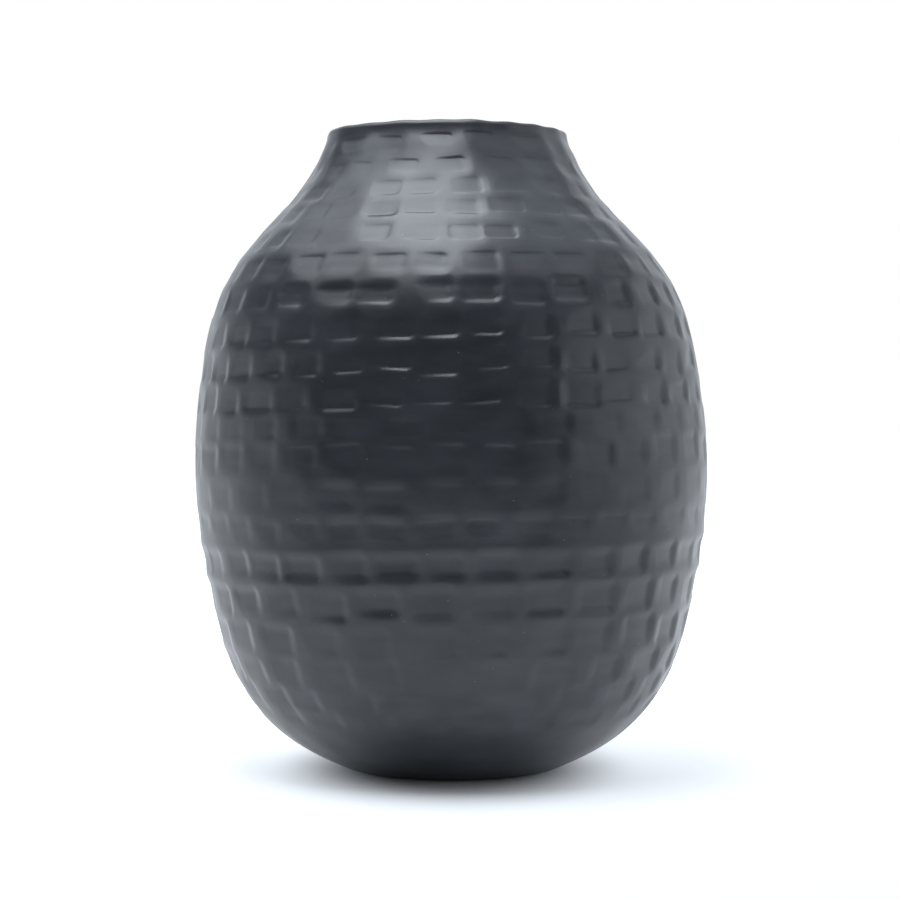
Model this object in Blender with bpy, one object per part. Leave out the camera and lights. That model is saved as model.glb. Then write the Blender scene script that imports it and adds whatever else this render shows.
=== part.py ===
"""A hand-built black clay jar, 280 mm tall, as the eight clay pieces that a coil potter joins.

The floor and foot are one pressed bowl. Seven coils are pinched onto it, one above the other, and
the last is the lip. Each joint is a scarf: the coil above laps down the inside of the wall below,
and a thin gap stands for the layer of slip that bonds them. Lengths are in metres, +Z is up, and
the origin is the middle of the flat underside.
"""

import math

import bmesh
import bpy
import numpy as np

MM = 0.001

# Driving dimensions.
HEIGHT = 280 * MM
FOOT_RADIUS = 46 * MM
BELLY_RADIUS = 113 * MM
MOUTH_RADIUS = 52 * MM
FLOOR_THICKNESS = 7 * MM

# The outside, foot to lip: (height, radius). One smooth curve runs through these stations.
OUTLINE = (
    (0, FOOT_RADIUS),
    (12 * MM, 69.5 * MM),
    (40 * MM, 95 * MM),
    (80 * MM, 107 * MM),
    (130 * MM, BELLY_RADIUS),
    (170 * MM, 110 * MM),
    (200 * MM, 104 * MM),
    (220 * MM, 94.5 * MM),
    (240 * MM, 77.5 * MM),
    (262 * MM, 60 * MM),
    (HEIGHT, MOUTH_RADIUS),
)

# Wall thickness at a height: heavy at the foot, where the clay carries the jar, and thin at the lip.
WALL = (
    (0, 6.8 * MM),
    (60 * MM, 6.2 * MM),
    (130 * MM, 5.6 * MM),
    (230 * MM, 5.2 * MM),
    (HEIGHT, 4.2 * MM),
)

# The pieces, bottom up, each with the height where its outer face ends.
PIECES = (
    ("base_bowl", 34.5 * MM),
    ("foot_wall_coil", 70.5 * MM),
    ("lower_belly_coil", 101 * MM),
    ("belly_coil", 146 * MM),
    ("upper_belly_coil", 185 * MM),
    ("shoulder_coil", 224.5 * MM),
    ("neck_coil", 265 * MM),
    ("lip_coil", HEIGHT),
)
SCARF = 8 * MM  # how far a joint runs down the wall between the outer face and the inner one
SLIP_GAP = 0.6 * MM  # measured along the wall; across the slanted joint it is about 0.3 mm
FLOOR_FILLET = 6 * MM  # length of the slope where the floor meets the wall

SEGMENTS = 60  # faces round the jar
STEP = 9.5 * MM  # length of a face along the wall
LIP_STEPS = 6  # faces round the lip's rounded edge
TABLE_POINTS = 2000  # points that the outline is read from

# Burnished black clay.
CLAY_COLOUR = (0.026, 0.028, 0.032)
CLAY_ROUGHNESS = 0.38
SMOOTH_ANGLE = math.radians(40)  # edges sharper than this stay crisp


def natural_spline(knots, values, at):
    """The natural cubic spline through values at knots, read at the places in at."""
    span = np.diff(knots)
    count = len(knots)
    rows = np.eye(count)
    turn = np.zeros(count)
    for i in range(1, count - 1):
        rows[i, i - 1 : i + 2] = span[i - 1], 2 * (span[i - 1] + span[i]), span[i]
        turn[i] = 6 * ((values[i + 1] - values[i]) / span[i] - (values[i] - values[i - 1]) / span[i - 1])
    bend = np.linalg.solve(rows, turn)
    i = np.clip(np.searchsorted(knots, at, side="right") - 1, 0, count - 2)
    a = (knots[i + 1] - at) / span[i]
    b = 1 - a
    cubic = ((a**3 - a) * bend[i] + (b**3 - b) * bend[i + 1]) * span[i] ** 2 / 6
    return a * values[i] + b * values[i + 1] + cubic


class Wall:
    """The jar's wall. A place on it is its length along the outside from the foot's edge."""

    def __init__(self):
        stations = np.array(OUTLINE)
        chord = np.hypot(*np.diff(stations, axis=0).T)
        knots = np.concatenate([[0], np.cumsum(chord)])
        at = np.linspace(0, knots[-1], TABLE_POINTS)
        self.height = natural_spline(knots, stations[:, 0], at)
        self.radius = natural_spline(knots, stations[:, 1], at)
        steps = np.hypot(np.diff(self.height), np.diff(self.radius))
        self.place = np.concatenate([[0], np.cumsum(steps)])
        self.spread = np.gradient(self.radius, self.place)
        self.rise = np.gradient(self.height, self.place)

    def place_at(self, height):
        return float(np.interp(height, self.height, self.place))

    def outer(self, place):
        """(radius, height) on the outer face."""
        return (
            float(np.interp(place, self.place, self.radius)),
            float(np.interp(place, self.place, self.height)),
        )

    def inner(self, place):
        """(radius, height) on the inner face, straight in through the wall."""
        radius, height = self.outer(place)
        thickness = float(np.interp(height, *zip(*WALL)))
        spread = float(np.interp(place, self.place, self.spread))
        rise = float(np.interp(place, self.place, self.rise))
        return radius - thickness * rise, height + thickness * spread


def face(side, start, end):
    """Evenly spaced points on one side of the wall, from place start to place end."""
    count = math.ceil((end - start) / STEP)
    return [side(place) for place in np.linspace(start, end, count + 1)]


def bowl_profile(wall, high):
    """The pressed bowl from the axis out along the underside, up the wall, and back down to the floor."""
    outside = face(wall.outer, 0, high)
    inside = face(wall.inner, 0, high - SCARF)
    clear_of_floor = [point for point in inside if point[1] > FLOOR_THICKNESS + FLOOR_FILLET / 4]
    lowest = clear_of_floor[0][0]
    return [
        (0, 0),
        *outside,
        *clear_of_floor[::-1],
        (lowest - FLOOR_FILLET, FLOOR_THICKNESS),
        (0, FLOOR_THICKNESS),
    ]


def coil_profile(wall, low, high):
    """One coil between two joints, as a closed loop."""
    outside = face(wall.outer, low, high)
    inside = face(wall.inner, low - SCARF, high - SCARF)
    return [*outside, *inside[::-1]]


def lip_profile(wall, low):
    """The last coil, as a closed loop. Its top is a half round as wide as the wall."""
    high = wall.place_at(HEIGHT - WALL[-1][1] / 2)
    outside = face(wall.outer, low, high)
    inside = face(wall.inner, low - SCARF, high)
    (outer_r, outer_z), (inner_r, inner_z) = outside[-1], inside[-1]
    rounded = []
    for k in range(1, LIP_STEPS):
        turn = math.pi * k / LIP_STEPS
        middle = (outer_r + inner_r) / 2 + (outer_r - inner_r) / 2 * math.cos(turn)
        level = outer_z + (inner_z - outer_z) * k / LIP_STEPS
        rounded.append((middle, level + (HEIGHT - level) * math.sin(turn)))
    return [*outside, *rounded, *inside[::-1]]


def black_clay(piece):
    material = bpy.data.materials.new(f"{piece}_clay")
    material.use_nodes = True
    shader = material.node_tree.nodes["Principled BSDF"]
    shader.inputs["Base Color"].default_value = (*CLAY_COLOUR, 1)
    shader.inputs["Roughness"].default_value = CLAY_ROUGHNESS
    shader.inputs["Metallic"].default_value = 0
    return material


def turned(name, profile):
    """A clay solid of revolution about +Z. A profile is a closed loop unless it starts on the axis."""
    work = bmesh.new()
    points = [work.verts.new((radius, 0, height)) for radius, height in profile]
    edges = [work.edges.new(pair) for pair in zip(points, points[1:])]
    if profile[0][0] > 0:
        edges.append(work.edges.new((points[-1], points[0])))
    bmesh.ops.spin(
        work,
        geom=[*points, *edges],
        cent=(0, 0, 0),
        axis=(0, 0, 1),
        angle=2 * math.pi,
        steps=SEGMENTS,
        use_merge=True,
    )
    bmesh.ops.remove_doubles(work, verts=work.verts, dist=0.001 * MM)
    bmesh.ops.recalc_face_normals(work, faces=work.faces)
    mesh = bpy.data.meshes.new(name)
    work.to_mesh(mesh)
    work.free()
    mesh.shade_smooth()
    mesh.set_sharp_from_angle(angle=SMOOTH_ANGLE)
    mesh.materials.append(black_clay(name))
    piece = bpy.data.objects.new(name, mesh)
    bpy.context.scene.collection.objects.link(piece)
    return piece


def main():
    for old in list(bpy.data.objects):
        bpy.data.objects.remove(old)
    wall = Wall()
    jar = bpy.data.objects.new("jar", None)
    bpy.context.scene.collection.objects.link(jar)
    low = 0
    for name, top in PIECES:
        high = wall.place_at(top)
        if name == "base_bowl":
            profile = bowl_profile(wall, high - SLIP_GAP / 2)
        elif name == "lip_coil":
            profile = lip_profile(wall, low + SLIP_GAP / 2)
        else:
            profile = coil_profile(wall, low + SLIP_GAP / 2, high - SLIP_GAP / 2)
        turned(name, profile).parent = jar
        low = high


main()
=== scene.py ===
"""The look of the black clay jar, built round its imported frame.

Each clay piece of the frame is shown by a finer one in the same place. The pieces share one skin, read
from the frame's own outline: up the outside, over the lip, and down the inside to the floor. The rows of
beaten marks, the ridges between them and the potter's finger furrows are all in the skin's shape.
A place on the skin is its length in metres from the middle of the underside.
"""

import math

import bpy
import numpy as np
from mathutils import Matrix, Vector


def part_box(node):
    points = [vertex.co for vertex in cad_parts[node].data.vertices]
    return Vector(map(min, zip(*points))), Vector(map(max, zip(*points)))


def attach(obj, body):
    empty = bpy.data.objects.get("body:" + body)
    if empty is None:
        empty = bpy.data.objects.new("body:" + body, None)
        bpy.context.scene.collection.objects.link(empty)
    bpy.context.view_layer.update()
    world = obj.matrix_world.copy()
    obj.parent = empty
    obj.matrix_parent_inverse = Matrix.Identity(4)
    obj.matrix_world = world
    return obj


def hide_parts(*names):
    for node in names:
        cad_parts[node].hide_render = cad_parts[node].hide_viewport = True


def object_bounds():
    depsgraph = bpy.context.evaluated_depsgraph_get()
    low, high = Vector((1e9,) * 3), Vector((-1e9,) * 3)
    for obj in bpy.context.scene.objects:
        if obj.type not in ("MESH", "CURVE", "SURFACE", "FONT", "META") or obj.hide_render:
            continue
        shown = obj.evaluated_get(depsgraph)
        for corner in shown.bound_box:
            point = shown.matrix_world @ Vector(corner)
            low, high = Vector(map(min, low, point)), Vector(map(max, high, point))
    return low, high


MM = 0.001
SEED = 11

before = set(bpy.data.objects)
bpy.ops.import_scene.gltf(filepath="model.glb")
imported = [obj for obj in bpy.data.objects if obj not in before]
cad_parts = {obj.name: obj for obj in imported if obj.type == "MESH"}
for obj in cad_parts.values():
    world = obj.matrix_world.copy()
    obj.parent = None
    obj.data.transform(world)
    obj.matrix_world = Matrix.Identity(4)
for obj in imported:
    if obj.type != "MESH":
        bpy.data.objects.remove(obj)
cad_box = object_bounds()

# Bottom up. The first piece is the bowl that holds the floor, and the last one is the lip.
NODES = sorted(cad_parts, key=lambda node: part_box(node)[1].z)
HEIGHT = cad_box[1].z
FRONT = -math.pi / 2  # the angle of the jar's front, which is towards -Y

# Reading the frame's outline.
TOUCHING = 0.01 * MM  # corners nearer than this to a plane are in it
ON_THE_SIDE = 0.1 * MM  # corners nearer than this to a side of the wall are on it
UNDERSIDE = 1 * MM  # corners lower than this are under the jar
OUTLINE_POINTS = 8000
FLOOR_SHARES = (0.8, 0.6, 0.4, 0.2, 0)  # places across the floor, as shares of its radius
FOOT_ROUND = 4 * MM  # how far the foot's rounding reaches, under the jar and up its side
FOOT_POINTS = 40
UNDER_POINTS = 60

# The skin's grids: fine on the outside, where the marks are, and a quarter as many columns inside.
COLUMNS = 840
COARSE = 4
INNER_COLUMNS = COLUMNS // COARSE
PLAIN_STEP = 1.1 * MM  # between rows below the marks
FINE_STEP = 0.55 * MM  # between rows from there up
INNER_STEP = 2.5 * MM  # between rows inside
FINE_FROM = 22 * MM  # the height where the fine rows start
LIP_INSIDE = 5 * MM  # how far down the inside of the lip they go
UNDER_START = 4 * MM  # the radius of the underside's first ring
UNDER_ROWS = 10
LONGEST_STEP = 4 * MM  # rings further apart than this face each other across a joint

# Rows of beaten marks, top down: height, marks to a turn, angle of one mark right of the front in
# degrees, width and height of a mark, depth, how much of the depth is in the steep lower edge (below
# zero, in a steep upper edge), and how much deeper the beater's lower edge went in than its upper one,
# as a share. Lengths are in millimetres.
ROWS = (
    (270.5, 17, -5.0, 13.0, 6.5, 0.55, -0.6, -0.5),
    (260.5, 19, 1.5, 14.0, 6.5, 0.60, -0.6, -0.2),
    (251.0, 23, 7.0, 13.5, 7.5, 0.75, 0.6, 0.3),
    (242.0, 27, 5.0, 13.5, 8.0, 0.80, 0.6, 0.3),
    (231.0, 30, 3.5, 13.0, 7.5, 0.80, 0.6, 0.1),
    (218.5, 31, 8.5, 14.0, 8.0, 0.80, -0.35, -0.1),
    (205.5, 31, 7.0, 14.0, 7.5, 1.15, 0.5, 0.0),
    (191.5, 33, 9.0, 14.0, 8.0, 1.20, 0.55, 0.4),
    (177.5, 35, 8.5, 13.5, 7.8, 1.20, 0.55, 0.4),
    (164.0, 34, 7.2, 14.0, 7.8, 1.20, 0.55, 0.4),
    (152.0, 33, 1.0, 13.5, 6.5, 0.60, 0.2, 0.0),
    (139.5, 34, 9.5, 14.5, 9.0, 0.80, -0.2, -0.1),
    (124.5, 32, 8.5, 14.0, 8.5, 0.50, -0.1, 0.0),
    (110.0, 37, 6.5, 12.5, 7.0, 0.60, -0.25, -0.7),
    (95.5, 33, 9.7, 14.5, 7.5, 1.20, -0.3, -0.1),
    (80.0, 29, 8.5, 15.5, 9.0, 1.25, -0.22, -0.1),
    (64.0, 27, 7.5, 16.0, 9.5, 1.25, -0.15, -0.1),
    (50.0, 26, 11.2, 15.5, 9.0, 1.25, -0.1, 0.0),
    (39.0, 25, 4.0, 14.0, 7.5, 1.05, -0.1, 0.0),
    (30.0, 24, 9.0, 13.0, 6.0, 0.75, 0.0, 0.0),
)
# How the marks in a row differ: a usual difference, or a lowest and a highest share.
SHIFT_ACROSS = 1.2 * MM
SHIFT_ALONG = 0.6 * MM
WIDTH_SHARES = (0.85, 1.10)
HEIGHT_SHARES = (0.82, 1.12)
DEPTH_SHARES = (0.7, 1.2)
STEEP_SHARES = (0.75, 1.25)
TILT_CHANGE = 0.045
TIP_CHANGE = 0.2
ROLL = 0.45  # how much deeper the beater's right edge went in than its left one, as a share
ROLL_CHANGE = 0.25

# Two coil lines stand proud of the wall: height, how far they stand out, and how wide they are, in mm.
RIDGES = ((101.5, 0.38, 3.4), (88.0, 0.38, 3.4))
ROW_TILT = 0.022  # how far the rows climb to the right, as a share of the width
EDGE = 1.4  # how wide a mark's steep edge is, in times its depth
EASY_EDGE = 0.35  # how steep the other edges are, as a share of the steep one
SIDE_CRISPNESS = 0.25  # how steep the edges are on the jar's left and right, as a share of the front's
SHOULDER = 4.2 * MM  # how far the clay bends down round a mark
ROUNDED = 2.2 * MM  # how far inside its edge a mark's floor starts to bend up
CORNER = 1.6 * MM  # the beater's rounded corner
FLATTENED = 0.45  # how flat a mark's floor is: 0 follows the wall, 1 is flat
STRAIGHTER = 3  # the wall's curve up and down is this many times wider than its curve round the jar
DEEPEST = 2.0 * MM
TILT_ROOM = 0.1  # how much of its width a tilted mark can add to its height

# The wall's unevenness.
LEAN = -2.2 * MM  # how far the mouth stands off the foot's middle
FLARE = 0.5 * MM  # how far the rim's outer face bends back out
FLARE_HEIGHT = 9 * MM  # how far below the top the bend starts
PLAIN_FOOT = 20 * MM  # the shape fades in between the foot and this height
# Swells: how far they stand out, the most to a turn, their pitch up the wall, and how many there are.
SLOW_SWELLS = (0.35 * MM, 5, 180 * MM, 7)
QUICK_SWELLS = (0.20 * MM, 24, 60 * MM, 16)
INNER_SWELLS = (0.3 * MM, 6, 70 * MM, 7)
SWELL_TURNS = (3, 7)  # radians of a swell to its pitch, lowest and highest
# Finger furrows inside.
FURROW_PITCH = 11 * MM
FURROW_DEPTH = 0.45 * MM
FURROW_WANDER = (0.9, 4, 90 * MM, 7)  # radians, and then as in the swells
BELOW_LIP = 25 * MM  # the furrows fade in over this distance
ACROSS_FLOOR = 60 * MM  # and fade out over this distance from the floor's middle

# The clay: darkest and palest colours, least and most roughness.
BURNISHED = ((0.009, 0.011, 0.015, 1), (0.031, 0.036, 0.044, 1))
RAW = ((0.028, 0.028, 0.029, 1), (0.052, 0.051, 0.050, 1))
DUST = (0.30, 0.31, 0.33, 1)
DUST_STRENGTH = 0.5
BURNISHED_ROUGHNESS = (0.28, 0.38)
RAW_ROUGHNESS = (0.62, 0.80)
CLAY_IOR = 1.55
STROKES = (1, 1, 2.5)  # the burnisher's strokes run round the jar, so the clouds are wider than tall
GRAIN_DEPTH = 0.06 * MM
BURNISHED_GRAIN = 0.12  # how much of the grain the burnisher leaves
PIT_SHARE = 0.35  # how deep the pits are, as a share of the grain


class Skin:
    """The jar's outline as one path, with its outer seams, its inner seams and the top of its lip."""

    def __init__(self):
        outer, inner = {}, {}
        outlines = {node: meridian(node) for node in NODES}
        edges = np.concatenate([ends for _, ends in outlines.values()])
        for node, (points, _) in outlines.items():
            out, back = sides(points, edges)
            outer[node], inner[node] = points[out], points[back]
        wall = np.concatenate([outer[node] for node in NODES])
        top = wall[-1, 1]
        back = np.concatenate([inner[node][::-1] for node in NODES[::-1]])
        lining = back[(back[:, 1] < top) & (back[:, 0] > 0)]
        floor = lining[-1] * np.array([[share, 1] for share in FLOOR_SHARES])
        self._trace(np.concatenate([wall, lining, floor]))
        self.lip = self.place[np.argmax(self.height)]
        pairs = list(zip(NODES, NODES[1:]))
        self.outer_seams = [self._between(outer[a][-1], outer[b][0], True) for a, b in pairs]
        self.inner_seams = [self._between(inner[a][-1], inner[b][0], False) for a, b in pairs]

    def _trace(self, stations):
        """Runs a smooth curve through the stations, rounds its foot, and starts it under the jar."""
        chord = np.concatenate([[0], np.cumsum(np.hypot(*np.diff(stations, axis=0).T))])
        at = np.linspace(0, chord[-1], OUTLINE_POINTS)
        radius, height = (natural_spline(chord, stations[:, k], at) for k in (0, 1))
        foot = radius[0]
        start = np.searchsorted(at, FOOT_ROUND)
        turn = np.linspace(0, 1, FOOT_POINTS)[:-1]
        away, back = (1 - turn) ** 2, turn**2
        corner = 2 * turn * (1 - turn)
        round_radius = away * (foot - FOOT_ROUND) + corner * foot + back * radius[start]
        under = np.linspace(0, foot - FOOT_ROUND, UNDER_POINTS)[:-1]
        self.radius = np.concatenate([under, round_radius, radius[start:]])
        self.height = np.concatenate([0 * under, back * height[start], height[start:]])
        self.radius = self.radius.clip(min=0)
        steps = np.hypot(np.diff(self.radius), np.diff(self.height))
        self.place = np.concatenate([[0], np.cumsum(steps)])
        self.foot = foot - FOOT_ROUND
        self.end = self.place[-1]
        self.outward = np.gradient(self.height, self.place)
        self.upward = -np.gradient(self.radius, self.place)

    def _between(self, a, b, outside):
        """The place halfway between two stations on one side of the wall."""
        side = (self.place < self.lip) == outside
        middle = (a + b) / 2
        gap = np.hypot(self.radius[side] - middle[0], self.height[side] - middle[1])
        return self.place[side][np.argmin(gap)]

    def read(self, values, places):
        return np.interp(places, self.place, values)

    def place_at(self, height):
        """The place on the outside at a height."""
        outside = (self.place > self.foot) & (self.place <= self.lip)
        return np.interp(height, self.height[outside], self.place[outside])

    def points(self, angles, places, rise):
        """The skin's points at these angles and places, each lifted off the plain wall by rise."""
        radius = self.read(self.radius, places) + rise * self.read(self.outward, places)
        height = self.read(self.height, places) + rise * self.read(self.upward, places)
        lean = LEAN * (height / HEIGHT) ** 2
        return np.stack([radius * np.cos(angles) + lean, radius * np.sin(angles), height], axis=-1)


def meridian(node):
    """A node's outline in the plane y = 0, x > 0: its corners as (radius, height), and its edges' ends."""
    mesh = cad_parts[node].data
    corners = np.array([vertex.co for vertex in mesh.vertices])
    here = (abs(corners[:, 1]) < TOUCHING) & (corners[:, 0] > -TOUCHING)
    flat = corners[:, [0, 2]].round(6)
    ends = np.array([edge.vertices for edge in mesh.edges])
    ends = ends[here[ends].all(axis=1)]
    points = np.unique(flat[here], axis=0)
    return points[np.argsort(points[:, 1], kind="stable")], flat[ends]


def sides(points, edges):
    """Which points are on the wall's outer side, and which on its inner side, at their own height."""
    low, high = edges[:, :, 1].min(axis=1), edges[:, :, 1].max(axis=1)
    out, back = [], []
    for radius, height in points:
        crossed = edges[(low <= height) & (height <= high) & (high - low > TOUCHING)]
        (a_r, a_z), (b_r, b_z) = crossed[:, 0].T, crossed[:, 1].T
        reach = a_r + (b_r - a_r) * (height - a_z) / (b_z - a_z)
        out.append(radius > reach.max() - ON_THE_SIDE)
        back.append(radius < reach.min() + ON_THE_SIDE and height > UNDERSIDE)
    return np.array(out), np.array(back)


def natural_spline(knots, values, at):
    """The natural cubic spline through values at knots, read at the places in at."""
    span = np.diff(knots)
    slope = np.diff(values) / span
    count = len(knots)
    rows = np.eye(count)
    turn = np.zeros(count)
    for i in range(1, count - 1):
        rows[i, i - 1 : i + 2] = span[i - 1], 2 * (span[i - 1] + span[i]), span[i]
        turn[i] = 6 * (slope[i] - slope[i - 1])
    bend = np.linalg.solve(rows, turn)
    i = np.clip(np.searchsorted(knots, at, side="right") - 1, 0, count - 2)
    a = (knots[i + 1] - at) / span[i]
    b = 1 - a
    cubic = ((a**3 - a) * bend[i] + (b**3 - b) * bend[i + 1]) * span[i] ** 2 / 6
    return a * values[i] + b * values[i + 1] + cubic


def smooth(share):
    """Eases from 0 to 1."""
    return share**2 * (3 - 2 * share)


def turned(angles, angle):
    """How far angles are past an angle, as at most half a turn either way."""
    return np.angle(np.exp(1j * (angles - angle)))


class Mark:
    """One beaten mark: where its middle is, its size, and how the beater met the wall there."""

    def __init__(self, row, number, skin, chance):
        height, count, first, wide, tall, depth, steep, tip = row
        middle = skin.place_at(height * MM)
        radius = skin.read(skin.radius, middle)
        turn = math.radians(first + 360 * number / count) + chance.normal(0, SHIFT_ACROSS) / radius
        climb = ROW_TILT * radius * math.sin(turn)
        crispness = SIDE_CRISPNESS + (1 - SIDE_CRISPNESS) * math.cos(turn) ** 4
        self.angle = FRONT + turn
        self.place = middle + climb + chance.normal(0, SHIFT_ALONG)
        self.half_width = wide * MM / 2 * chance.uniform(*WIDTH_SHARES)
        self.half_height = tall * MM / 2 * chance.uniform(*HEIGHT_SHARES)
        self.tilt = ROW_TILT + chance.normal(0, TILT_CHANGE)
        self.depth = depth * MM * chance.uniform(*DEPTH_SHARES)
        self.steep = steep * chance.uniform(*STEEP_SHARES) * crispness
        self.tip = tip + chance.normal(0, TIP_CHANGE)
        self.roll = chance.normal(ROLL, ROLL_CHANGE)


def beaten_marks(skin, chance):
    return [Mark(row, number, skin, chance) for row in ROWS for number in range(row[1])]


def window(mark, skin, angles, places):
    """The part of the fine grid that a mark can reach, as row and column numbers."""
    reach = SHOULDER + 2 * FINE_STEP
    tallest = mark.half_height + mark.half_width * TILT_ROOM + reach
    rows = np.flatnonzero(abs(places[:, 0] - mark.place) < tallest)
    radius = skin.read(skin.radius, places[rows, 0]).min()
    widest = (mark.half_width + mark.half_height * TILT_ROOM + reach) / radius
    return np.ix_(rows, np.flatnonzero(abs(turned(angles[0], mark.angle)) < widest))


def on_mark(mark, skin, angles, places):
    """Distances across and along from a mark's middle, in its own tilted frame."""
    across = turned(angles, mark.angle) * skin.read(skin.radius, places)
    along = places - mark.place
    c, s = math.cos(mark.tilt), math.sin(mark.tilt)
    return across * c + along * s, along * c - across * s


def edge_distance(mark, across, along):
    """How far a point is outside a mark's edge, and the way out, as a unit vector."""
    over = np.stack([abs(across) - mark.half_width, abs(along) - mark.half_height]) + CORNER
    beyond = over.clip(min=0)
    corner = np.hypot(*beyond)
    distance = corner + over.max(axis=0).clip(max=0) - CORNER
    nearest = np.stack([over[0] >= over[1], over[1] > over[0]])
    way = np.where(corner > 0, beyond / np.where(corner > 0, corner, 1), nearest)
    return distance, way[0] * np.sign(across), way[1] * np.sign(along)


def snap_to_edges(marks, skin, angles, places):
    """Moves the grid points next to a mark's edge onto it, so that the crease there is crisp."""
    plain_angles, plain_places = angles.copy(), places.copy()
    column = 2 * math.pi / COLUMNS
    for mark in marks:
        here = window(mark, skin, plain_angles, plain_places)
        radius = skin.read(skin.radius, plain_places[here])
        across, along = on_mark(mark, skin, plain_angles[here], plain_places[here])
        distance, way_across, way_along = edge_distance(mark, across, along)
        reach = np.maximum(abs(way_across) * column * radius, abs(way_along) * FINE_STEP) / 2
        pull = np.where(abs(distance) < reach, -distance, 0)
        c, s = math.cos(mark.tilt), math.sin(mark.tilt)
        angles[here] += pull * (way_across * c - way_along * s) / radius
        places[here] += pull * (way_across * s + way_along * c)


def pressed(mark, skin, across, along):
    """How deep the beater's face went in at a point, or at the point of its edge that is nearest."""
    across = across.clip(-mark.half_width, mark.half_width)
    along = along.clip(-mark.half_height, mark.half_height)
    slant = 1 + mark.roll * across / mark.half_width - mark.tip * along / mark.half_height
    most = 1 + abs(mark.tip) + abs(mark.roll)
    radius = skin.read(skin.radius, mark.place)
    bulge = across**2 / (2 * radius) + along**2 / (2 * STRAIGHTER * radius)
    return (mark.depth * slant / most - FLATTENED * bulge).clip(min=0)


def sunk(marks, skin, angles, places):
    """How deep the marks press the wall in at each grid point, as a share of DEEPEST."""
    whole = np.ones(angles.shape)
    for mark in marks:
        here = window(mark, skin, angles, places)
        across, along = on_mark(mark, skin, angles[here], places[here])
        distance, _, up = edge_distance(mark, across, along)
        facing = (-up if mark.steep > 0 else up).clip(min=0)
        bite = abs(mark.steep) * (EASY_EDGE + (1 - EASY_EDGE) * facing)
        crease = 1 - (distance / (EDGE * mark.depth)).clip(0, 1)
        bend = smooth(1 - ((distance + ROUNDED) / (SHOULDER + ROUNDED)).clip(0, 1))
        depth = pressed(mark, skin, across, along) * (bite * crease + (1 - bite) * bend)
        whole[here] *= 1 - depth / DEEPEST
    return 1 - whole


def waviness(chance, angles, places, size, turns, pitch, waves):
    """Soft random swells: up to this many turns round the jar, and one or two pitches long."""
    swell = 0 * angles
    for _ in range(waves):
        phase = chance.uniform(0, 2 * math.pi, 2)
        round_jar = np.cos(chance.integers(1, turns + 1) * angles + phase[0])
        swell += round_jar * np.cos(places / pitch * chance.uniform(*SWELL_TURNS) + phase[1])
    return swell * size / math.sqrt(waves)


def coil_lines(skin, angles, places):
    """How far the two coil lines stand out at each grid point."""
    climb = ROW_TILT * skin.read(skin.radius, places) * np.sin(angles - FRONT)
    proud = 0 * places
    for height, out, width in RIDGES:
        away = (places - climb - skin.place_at(height * MM)) / (width * MM)
        proud += out * MM * np.exp(-(away**2))
    return proud


def flare(skin, places):
    """The rim's outer face, bent a little nearer to upright."""
    share = ((skin.read(skin.height, places) - HEIGHT) / FLARE_HEIGHT + 1).clip(0, 1)
    return FLARE * share**2 * skin.read(skin.outward, places).clip(min=0)


def grid_normals(points):
    """The outward normals of a grid that closes on itself sideways."""
    ahead = np.roll(points, -1, axis=1)
    faces = np.cross(ahead[1:] - points[:-1], points[1:] - ahead[:-1])
    faces = np.concatenate([faces[:1] * 0, faces, faces[:1] * 0])
    total = faces[1:] + faces[:-1]
    total = total + np.roll(total, 1, axis=1)
    return total / np.linalg.norm(total, axis=-1, keepdims=True)


def evenly(start, end, step):
    """Evenly spaced places from start up to end, without the end."""
    return np.linspace(start, end, math.ceil((end - start) / step) + 1)[:-1]


def fine_rows(skin):
    """The places of the outer grid's rows, and the row where each piece starts."""
    stops = [skin.foot, *skin.outer_seams, skin.lip + LIP_INSIDE]
    fine_from = skin.place_at(FINE_FROM)
    rows = [evenly(skin.foot, fine_from, PLAIN_STEP), evenly(fine_from, stops[1], FINE_STEP)]
    starts = [0, len(rows[0]) + len(rows[1])]
    for low, high in zip(stops[1:], stops[2:]):
        rows.append(evenly(low, high, FINE_STEP))
        starts.append(starts[-1] + len(rows[-1]))
    rows.append([stops[-1]])
    return np.concatenate(rows), starts


def inner_rows(skin):
    """The places of the inner grid's rows, lip to floor, and the row where each piece starts."""
    stops = [skin.lip + LIP_INSIDE + FINE_STEP, *skin.inner_seams[::-1], skin.end - INNER_STEP]
    rows, starts = [], [0]
    for high, low in zip(stops, stops[1:]):
        rows.append(evenly(high, low, INNER_STEP))
        starts.append(starts[-1] + len(rows[-1]))
    rows.append([stops[-1]])
    return np.concatenate(rows), starts


def lattice(rows, columns):
    """The angles and places of a grid's points."""
    turn = np.arange(columns) * 2 * math.pi / columns
    places, angles = np.meshgrid(rows, turn, indexing="ij")
    return angles.copy(), places.copy()


def outer_grid(skin, chance):
    """The outside from the foot's rounding, up over the lip and a little way down inside.

    The burnish fades in round the foot and out over the top of the lip.
    """
    rows, starts = fine_rows(skin)
    angles, places = lattice(rows, COLUMNS)
    marks = beaten_marks(skin, chance)
    snap_to_edges(marks, skin, angles, places)
    rise = coil_lines(skin, angles, places) - sunk(marks, skin, angles, places) * DEEPEST
    rise += waviness(chance, angles, places, *SLOW_SWELLS)
    rise += waviness(chance, angles, places, *QUICK_SWELLS)
    above_foot = (skin.read(skin.height, places) / PLAIN_FOOT).clip(0, 1)
    past_lip = (places - skin.lip) / LIP_INSIDE
    rise *= smooth(above_foot) * (1 - past_lip.clip(0, 1))
    rise += flare(skin, places)
    burnish = (0.5 - past_lip).clip(0, 1) * ((places - skin.foot) / FOOT_ROUND).clip(0, 1)
    return with_normals(skin.points(angles, places, rise), burnish), starts


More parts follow.
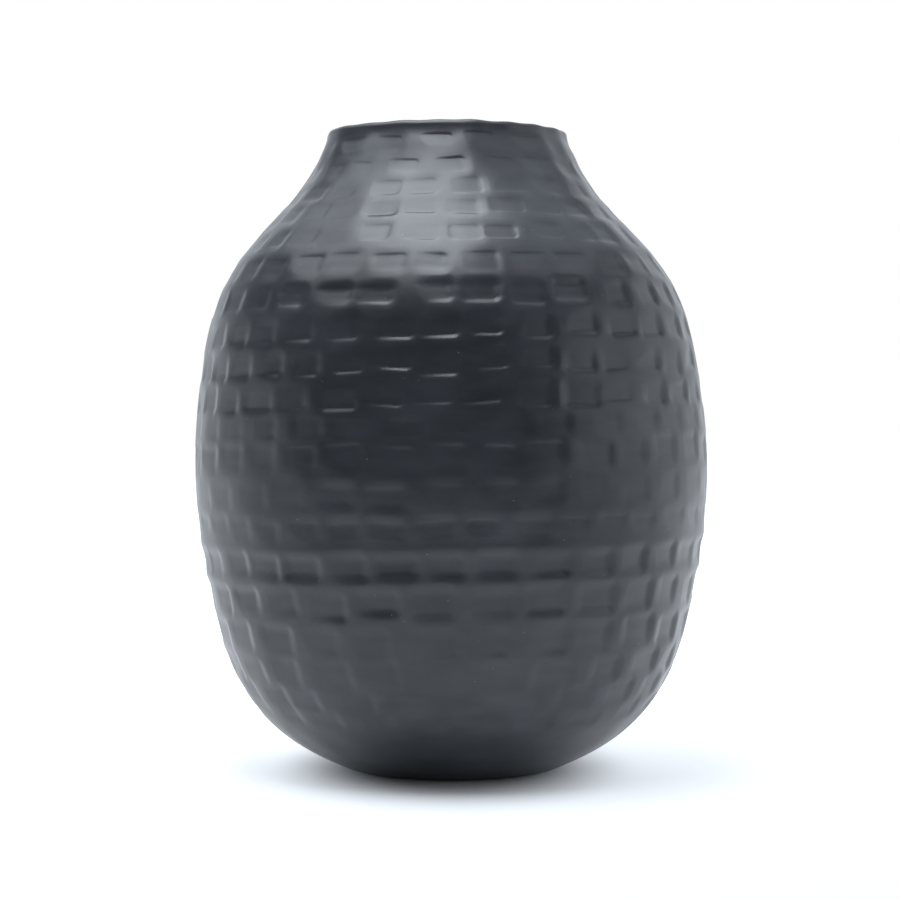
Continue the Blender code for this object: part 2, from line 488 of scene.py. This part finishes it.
def inner_grid(skin, chance):
    """The inside, drawn up by hand: its furrows are about a finger apart and wander a little."""
    rows, starts = inner_rows(skin)
    angles, places = lattice(rows, INNER_COLUMNS)
    wander = waviness(chance, angles, places, *FURROW_WANDER)
    furrows = FURROW_DEPTH * np.cos(places / FURROW_PITCH * 2 * math.pi + wander + angles)
    fade_in = ((places - rows[0]) / BELOW_LIP).clip(0, 1)
    fade_out = ((skin.end - places) / ACROSS_FLOOR).clip(0, 1)
    rise = (furrows + waviness(chance, angles, places, *INNER_SWELLS)) * fade_in * fade_out
    return with_normals(skin.points(angles, places, rise), 0 * places), starts


def under_grid(skin):
    """The flat underside, from near its middle out to the foot."""
    rows = np.linspace(UNDER_START, skin.foot - PLAIN_STEP, UNDER_ROWS)
    angles, places = lattice(rows, INNER_COLUMNS)
    return with_normals(skin.points(angles, places, 0 * places), 0 * places)


def with_normals(points, burnish):
    return {"points": points, "normals": grid_normals(points), "burnish": burnish}


def cut(whole, first, last):
    """The rows of a grid from first to last, both included."""
    return {name: values[first : last + 1] for name, values in whole.items()}


def join(a, b):
    """The faces between two rings of corner numbers, where one may have COARSE times as many."""
    if len(a) == len(b):
        return np.stack([a, np.roll(a, -1), np.roll(b, -1), b], axis=1).tolist()
    if len(a) < len(b):
        return [face[::-1] for face in join(b, a)]
    fine = np.stack([np.roll(a, -k)[::COARSE] for k in range(COARSE + 1)], axis=1)
    faces = []
    for corners, here, after in zip(fine.tolist(), b.tolist(), np.roll(b, -1).tolist()):
        half = COARSE // 2
        faces += [[corners[k], corners[k + 1], here] for k in range(half)]
        faces.append([corners[half], after, here])
        faces += [[corners[k], corners[k + 1], after] for k in range(half, COARSE)]
    return faces


def stacked(grids):
    """All the grids' corners and faces, and the first and last ring of corner numbers of each grid."""
    points, normals, burnish, rings, faces = [], [], [], [], []
    for part in grids:
        count, columns, _ = part["points"].shape
        numbers = np.arange(count * columns).reshape(count, columns) + len(points)
        points += part["points"].reshape(-1, 3).tolist()
        normals += part["normals"].reshape(-1, 3).tolist()
        burnish += part["burnish"].ravel().tolist()
        rings.append((numbers[0], numbers[-1]))
        for low, high in zip(numbers, numbers[1:]):
            faces += join(low, high)
    return points, normals, burnish, rings, faces


def solid(name, grids, poles=()):
    """One closed piece from grids that follow each other round its outline.

    Without poles the last grid joins the first. With two, each end closes on its own.
    """
    points, normals, burnish, rings, faces = stacked(grids)
    flat = []
    following = rings[1:] if poles else rings[1:] + rings[:1]
    for (_, low), (high, _) in zip(rings, following):
        strip = join(low, high)
        if math.dist(points[low[0]], points[high[0]]) > LONGEST_STEP:
            flat += range(len(faces), len(faces) + len(strip))
        faces += strip
    ends = (rings[0][0][::-1], -1), (rings[-1][1], 1)
    for pole, (ring, up) in zip(poles, ends):
        faces += [[a, b, len(points)] for a, b in zip(ring.tolist(), np.roll(ring, -1).tolist())]
        points.append(pole)
        normals.append((0, 0, up))
        burnish.append(0)
    return finished(name, points, faces, normals, flat, burnish)


def finished(name, points, faces, normals, flat, burnish):
    """The piece as an object, with smooth normals everywhere but on its flat faces."""
    mesh = bpy.data.meshes.new(name)
    mesh.from_pydata(points, [], faces)
    mesh.shade_smooth()
    begins = np.cumsum([0] + [len(face) for face in faces])
    at_corners = np.array(normals)[np.concatenate(faces)]
    for face in flat:
        at_corners[begins[face] : begins[face + 1]] = mesh.polygons[face].normal
    mesh.normals_split_custom_set(at_corners.tolist())
    mesh.attributes.new("burnish", "FLOAT", "POINT").data.foreach_set("value", burnish)
    piece = bpy.data.objects.new(name, mesh)
    bpy.context.scene.collection.objects.link(piece)
    return piece


def build_jar(clay):
    """Each node's own stretch of the skin, closed into a piece that stands for the node."""
    skin = Skin()
    chance = np.random.default_rng(SEED)
    outer, outer_starts = outer_grid(skin, chance)
    inner, inner_starts = inner_grid(skin, chance)
    inner_starts = inner_starts[::-1]
    for k, node in enumerate(NODES):
        grids = [cut(outer, *outer_starts[k : k + 2]), cut(inner, *inner_starts[k : k + 2][::-1])]
        poles = ()
        if k == 0:
            grids.insert(0, under_grid(skin))
            poles = [skin.points(0, place, 0).tolist() for place in (0, skin.end)]
        piece = solid(f"{node}_clay", grids, poles)
        piece.data.materials.append(clay)
        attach(piece, "root")
        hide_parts(node)


class Nodes:
    """A short way to write a node tree: each call adds a node, sets it up and links its inputs."""

    def __init__(self, owner):
        owner.use_nodes = True
        self.tree = owner.node_tree
        self.tree.nodes.clear()

    def __call__(self, kind, inputs=None, **settings):
        node = self.tree.nodes.new(kind)
        for name, value in settings.items():
            setattr(node, name, value)
        for socket, value in (inputs or {}).items():
            if isinstance(value, bpy.types.NodeSocket):
                self.tree.links.new(value, node.inputs[socket])
            else:
                node.inputs[socket].default_value = value
        return node

    def noise(self, where, scale, detail=2.0):
        inputs = {"Vector": where, "Scale": scale, "Detail": detail}
        return self("ShaderNodeTexNoise", inputs).outputs["Fac"]

    # A mix node has sockets of the same name for every kind of value, so these two go by number.
    def mix(self, share, a, b):
        """Colour a where share is 0, and b where it is 1."""
        return self("ShaderNodeMix", {0: share, 6: a, 7: b}, data_type="RGBA").outputs[2]

    def mix_numbers(self, share, a, b):
        """Number a where share is 0, and b where it is 1."""
        return self("ShaderNodeMix", {0: share, 2: a, 3: b}, data_type="FLOAT").outputs[0]

    def ramp(self, value, low, high, start=0.0, end=1.0, kind="LINEAR"):
        """Goes from start to end as value goes from low to high."""
        inputs = {"Value": value, "From Min": low, "From Max": high, "To Min": start, "To Max": end}
        return self("ShaderNodeMapRange", inputs, interpolation_type=kind).outputs["Result"]

    def maths(self, operation, a, b=0.0):
        return self("ShaderNodeMath", {0: a, 1: b}, operation=operation).outputs[0]

    def vector(self, operation, a, b=(0, 0, 0), output="Vector"):
        return self("ShaderNodeVectorMath", {0: a, 1: b}, operation=operation).outputs[output]


def black_clay():
    """Smoke-fired clay: burnished outside to a satin blue-black, raw and dull inside and underneath."""
    material = bpy.data.materials.new("black_clay")
    add = Nodes(material)
    where = add("ShaderNodeTexCoord").outputs["Object"]
    burnish = add("ShaderNodeAttribute", attribute_name="burnish").outputs["Fac"]
    strokes = add.noise(add.vector("MULTIPLY", where, STROKES), scale=45, detail=4)
    patches = add.noise(where, scale=14, detail=3)
    clouds = add.ramp(add.maths("ADD", patches, strokes), low=0.7, high=1.3)
    grain = add.noise(where, scale=1100, detail=3)
    pits = add.noise(where, scale=260)
    specks = add("ShaderNodeTexVoronoi", {"Vector": where, "Scale": 130}).outputs["Distance"]
    dust = add.ramp(specks, low=0.022, high=0.034, start=DUST_STRENGTH, end=0.0)
    clay = add.mix(burnish, add.mix(clouds, *RAW), add.mix(clouds, *BURNISHED))
    colour = add.mix(dust, clay, DUST)
    rubbed = add.ramp(add.noise(where, scale=60, detail=3), 0.2, 0.8, *BURNISHED_ROUGHNESS)
    dull = add.ramp(pits, 0.3, 0.7, *RAW_ROUGHNESS)
    roughness = add.mix_numbers(burnish, dull, rubbed)
    tooth = add.maths("MULTIPLY", add.ramp(burnish, 0, 1, 1.0, BURNISHED_GRAIN), grain)
    bumps = add.maths("ADD", tooth, add.maths("MULTIPLY", pits, PIT_SHARE))
    normal = add("ShaderNodeBump", {"Height": bumps, "Distance": GRAIN_DEPTH}).outputs["Normal"]
    inputs = {"Base Color": colour, "Roughness": roughness, "Normal": normal, "IOR": CLAY_IOR}
    shader = add("ShaderNodeBsdfPrincipled", inputs)
    add("ShaderNodeOutputMaterial", {"Surface": shader.outputs["BSDF"]})
    return material


# The studio. Brightness is in units of the white background.
FLOOR_SIZE = 8.0
FLOOR_FRONT = -0.75  # the floor ends here, in front of the camera, and the room's dark end shows past it
FLOOR_COLOUR = (0.85, 0.85, 0.85, 1)
FLOOR_ROUGHNESS = 0.9
FLOOR_GLOW = (0.25, 0.95)  # the floor's own painted light, in front of the jar and behind it
GLOW_CHANGE = 0.25  # how far in front of the jar's middle and behind it the glow changes
# There is no glow under the jar. This dark hole in the floor's painted light is a painted contact shadow,
# added to the lamps' real one.
SHADOW = (0.055, 0.135)  # how far from the middle the painted shadow starts to fade, and where it is gone
SHADOW_SHAPE = (1.6, 1, 1)  # the painted shadow ends this many times nearer the middle in each direction
# Softboxes side by side over the jar: left and right edge, front and back edge, and brightness.
SOFTBOXES = (
    (-0.50, -0.21, -0.15, 0.25, 1.6),
    (-0.21, 0.08, -0.36, 0.10, 5.6),
    (0.08, 0.50, -0.30, 0.20, 0.7),
)
SOFTBOX_HEIGHT = 0.62
LIGHT_COLOUR = (0.94, 1.0, 1.07)
# Soft panels of light round a dark room: the middle's angle right of the front and half the width, the
# lowest and highest elevation, all in degrees, and the brightness. In front, low down, there is none.
ROOM_LIGHT = 0.20
PANELS = (
    (97, 42, -40, 30, 0.88),
    (180, 36, -40, 42, 0.95),
    (-110, 38, -40, 12, 0.78),
    (-78, 22, 42, 62, 2.0),
)
PANEL_BLUR = 10  # degrees over which a panel's edge fades
CAMERA_PLACE = (-0.0009, -1.05, 0.16)
CAMERA_DOWN = math.radians(1.09)
CAMERA_LENS = 94.7
CAMERA_SENSOR = 36


def floor():
    mesh = bpy.data.meshes.new("floor")
    half = FLOOR_SIZE / 2
    front = [(-half, FLOOR_FRONT, 0), (half, FLOOR_FRONT, 0)]
    back = [(half, FLOOR_SIZE, 0), (-half, FLOOR_SIZE, 0)]
    mesh.from_pydata(front + back, [], [(0, 1, 2, 3)])
    plane = bpy.data.objects.new("floor", mesh)
    bpy.context.scene.collection.objects.link(plane)
    material = bpy.data.materials.new("pale_floor")
    add = Nodes(material)
    where = add("ShaderNodeTexCoord").outputs["Object"]
    # The floor glows though it is no lamp. This is painted light, dimmer in front of the jar than behind
    # it, and missing round the jar, which paints a contact shadow there.
    reach = add.vector("LENGTH", add.vector("MULTIPLY", where, SHADOW_SHAPE), output="Value")
    away = add.ramp(reach, *SHADOW, kind="SMOOTHSTEP")
    depth = add("ShaderNodeSeparateXYZ", {"Vector": where}).outputs["Y"]
    painted_glow = add.maths("MULTIPLY", away, add.ramp(depth, -GLOW_CHANGE, GLOW_CHANGE, *FLOOR_GLOW))
    inputs = {"Base Color": FLOOR_COLOUR, "Roughness": FLOOR_ROUGHNESS, "Emission Strength": painted_glow}
    shader = add("ShaderNodeBsdfPrincipled", inputs | {"Emission Color": (*LIGHT_COLOUR, 1)})
    add("ShaderNodeOutputMaterial", {"Surface": shader.outputs["BSDF"]})
    mesh.materials.append(material)


def softbox(left, right, front, back, brightness):
    light = bpy.data.lights.new("softbox", "AREA")
    light.shape = "RECTANGLE"
    light.size, light.size_y = right - left, back - front
    light.energy = brightness * math.pi * light.size * light.size_y
    light.color = LIGHT_COLOUR
    lamp = bpy.data.objects.new("softbox", light)
    lamp.location = ((left + right) / 2, (front + back) / 2, SOFTBOX_HEIGHT)
    lamp.visible_camera = False
    bpy.context.scene.collection.objects.link(lamp)


def panel(add, level, elevation, middle, half, low, high, brightness):
    """One panel's light in the direction being looked in."""
    middle, half = math.radians(middle), math.radians(half)
    blur = math.radians(PANEL_BLUR)
    facing = add.vector("DOT_PRODUCT", level, (math.sin(middle), -math.cos(middle), 0), "Value")
    across = add.ramp(facing, math.cos(half + blur), math.cos(half - blur), kind="SMOOTHSTEP")
    above = add.ramp(elevation, low - PANEL_BLUR, low + PANEL_BLUR, kind="SMOOTHSTEP")
    below = add.ramp(elevation, high - PANEL_BLUR, high + PANEL_BLUR, brightness, 0, "SMOOTHSTEP")
    return add.maths("MULTIPLY", add.maths("MULTIPLY", across, above), below)


def room():
    """The panels light the jar. The camera sees plain white instead."""
    world = bpy.data.worlds.new("room")
    bpy.context.scene.world = world
    add = Nodes(world)
    way = add("ShaderNodeTexCoord").outputs["Generated"]
    level = add.vector("NORMALIZE", add.vector("MULTIPLY", way, (1, 1, 0)))
    rise = add("ShaderNodeSeparateXYZ", {"Vector": way}).outputs["Z"]
    elevation = add.maths("MULTIPLY", add.maths("ARCSINE", rise), math.degrees(1))
    light = ROOM_LIGHT
    for numbers in PANELS:
        light = add.maths("ADD", light, panel(add, level, elevation, *numbers))
    seen = add("ShaderNodeLightPath").outputs["Is Camera Ray"]
    lit = add("ShaderNodeBackground", {"Color": (*LIGHT_COLOUR, 1), "Strength": light})
    white = add("ShaderNodeBackground", {"Color": (1, 1, 1, 1)})
    choice = add("ShaderNodeMixShader", {0: seen, 1: lit.outputs[0], 2: white.outputs[0]})
    add("ShaderNodeOutputWorld", {"Surface": choice.outputs[0]})


def camera():
    data = bpy.data.cameras.new("camera")
    data.lens = CAMERA_LENS
    data.sensor_width = CAMERA_SENSOR
    eye = bpy.data.objects.new("camera", data)
    eye.location = CAMERA_PLACE
    eye.rotation_euler = (math.pi / 2 - CAMERA_DOWN, 0, 0)
    bpy.context.scene.collection.objects.link(eye)
    bpy.context.scene.camera = eye


build_jar(black_clay())
floor()
for place_and_brightness in SOFTBOXES:
    softbox(*place_and_brightness)
room()
camera()
bpy.context.scene.view_settings.view_transform = "Standard"
